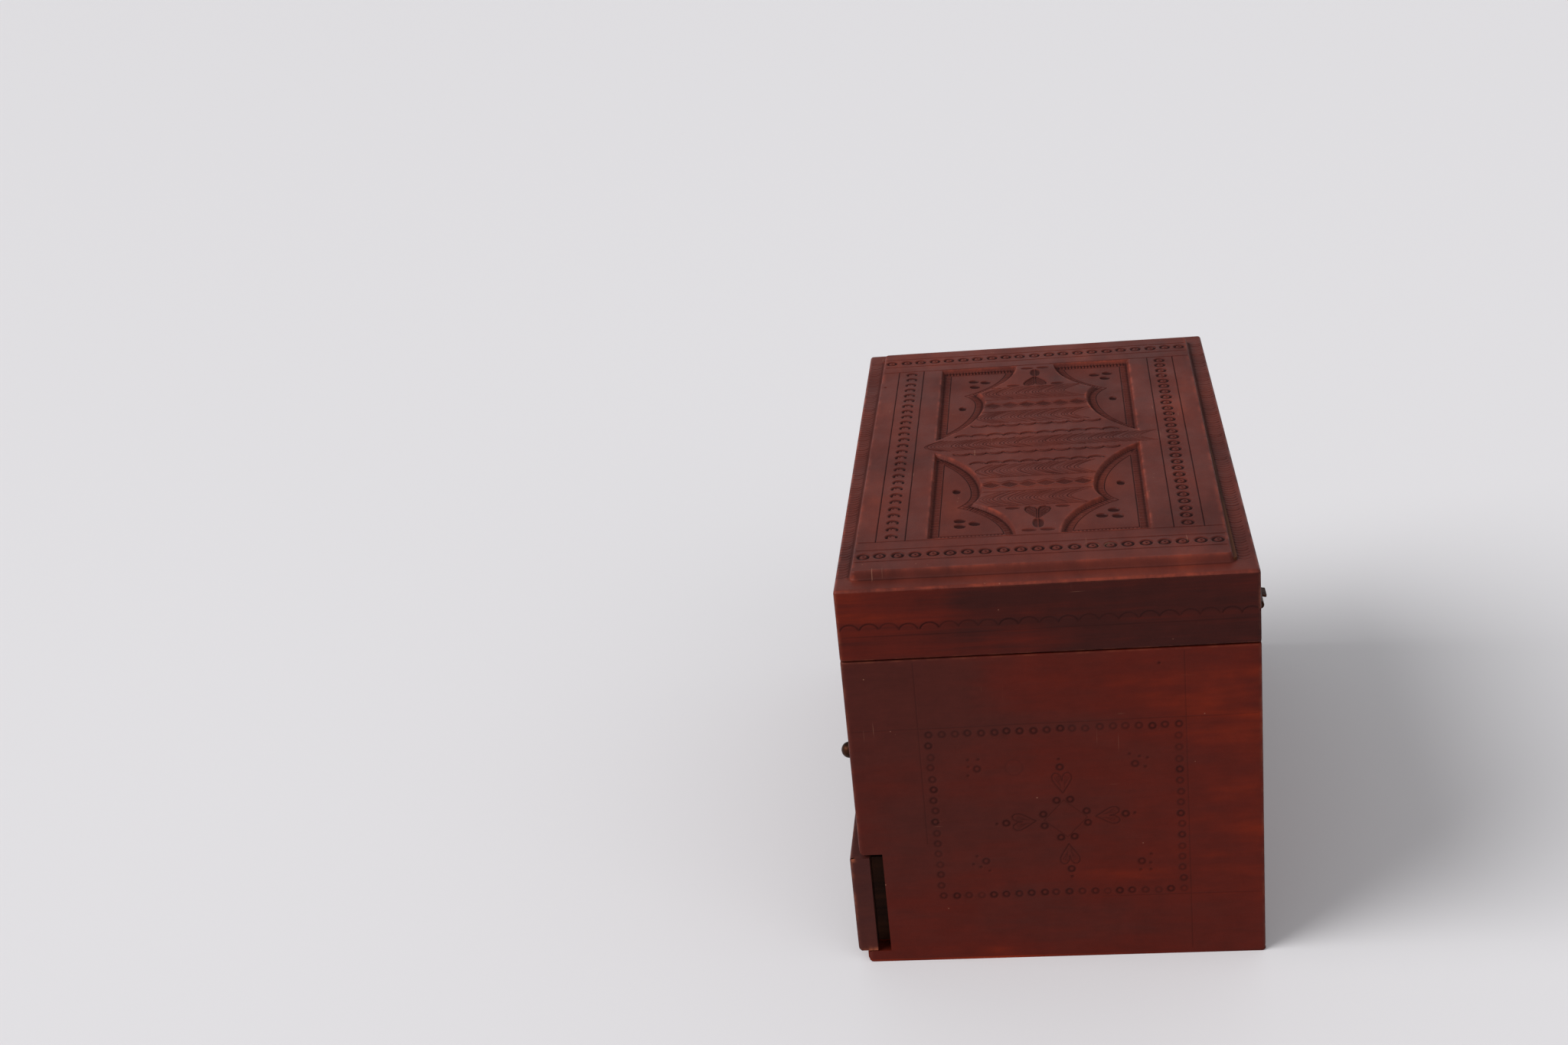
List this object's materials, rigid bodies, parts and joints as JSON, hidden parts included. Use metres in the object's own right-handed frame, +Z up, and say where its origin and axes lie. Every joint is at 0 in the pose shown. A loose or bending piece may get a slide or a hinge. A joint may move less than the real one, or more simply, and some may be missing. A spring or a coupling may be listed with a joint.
{
  "type": "jewelry box",
  "caption": "Leather-covered wooden jewelry box with a hinged, tooled lid, a velvet-lined well and one full-width drawer at the foot.",
  "frame": {"origin": "middle of the underside, on the surface that the box stands on", "axes": "+X along the box's length, -Y out of the drawer front, +Z up"},
  "size_m": [0.33, 0.2297, 0.2131],
  "materials": {
    "case_leather": "gloss",
    "tooled_leather": "gloss",
    "drawer_leather": "satin",
    "board_wood": "matte",
    "frame_wood": "satin",
    "lining_velvet": "matte",
    "aged_brass": "satin",
    "mirror_glass": "gloss"
  },
  "bodies": {
    "case": {"bottom_board": "board_wood", "right_side_board": "board_wood", "left_side_board": "board_wood", "front_board": "board_wood", "back_board": "board_wood", "shelf_board": "board_wood", "base_leather": "case_leather", "drawer_bay_leather": "case_leather", "right_side_leather": "case_leather", "left_side_leather": "case_leather", "front_leather": "case_leather", "back_leather": "case_leather", "well_floor_pad": "lining_velvet", "well_right_lining": "lining_velvet", "well_left_lining": "lining_velvet", "well_front_lining": "lining_velvet", "well_back_lining": "lining_velvet", "hinge_case_leaves": "aged_brass", "hinge_pins": "aged_brass", "hinge_case_screws": "aged_brass"},
    "lid": {"lid_front_rail": "board_wood", "lid_back_rail": "board_wood", "lid_right_rail": "board_wood", "lid_left_rail": "board_wood", "lid_top_board": "board_wood", "lid_panel_board": "board_wood", "lid_top_leather": "tooled_leather", "lid_front_leather": "case_leather", "lid_back_leather": "case_leather", "lid_right_leather": "case_leather", "lid_left_leather": "case_leather", "lid_ceiling_lining": "lining_velvet", "lid_wall_lining": "lining_velvet", "lid_mirror": "mirror_glass", "lid_mirror_frame": "frame_wood", "hinge_lid_leaves": "aged_brass", "hinge_lid_screws": "aged_brass"},
    "drawer": {"drawer_front_board": "board_wood", "drawer_front_leather": "drawer_leather", "drawer_right_side": "board_wood", "drawer_left_side": "board_wood", "drawer_back_board": "board_wood", "drawer_bottom_board": "board_wood", "drawer_floor_pad": "lining_velvet", "drawer_wall_lining": "lining_velvet", "drawer_knob": "aged_brass", "drawer_knob_rosette": "aged_brass", "drawer_knob_screw": "aged_brass"}
  },
  "joints": [
    {"name": "lid_hinge", "type": "hinge", "parent": "case", "child": "lid", "pos_m": [0, 0.1026, 0.1727], "axis": [-1, 0, 0], "range_deg": [0, 105]},
    {"name": "drawer_slide", "type": "slide", "parent": "case", "child": "drawer", "axis": [0, -1, 0], "range_m": [-0.006, 0.124]}
  ]
}
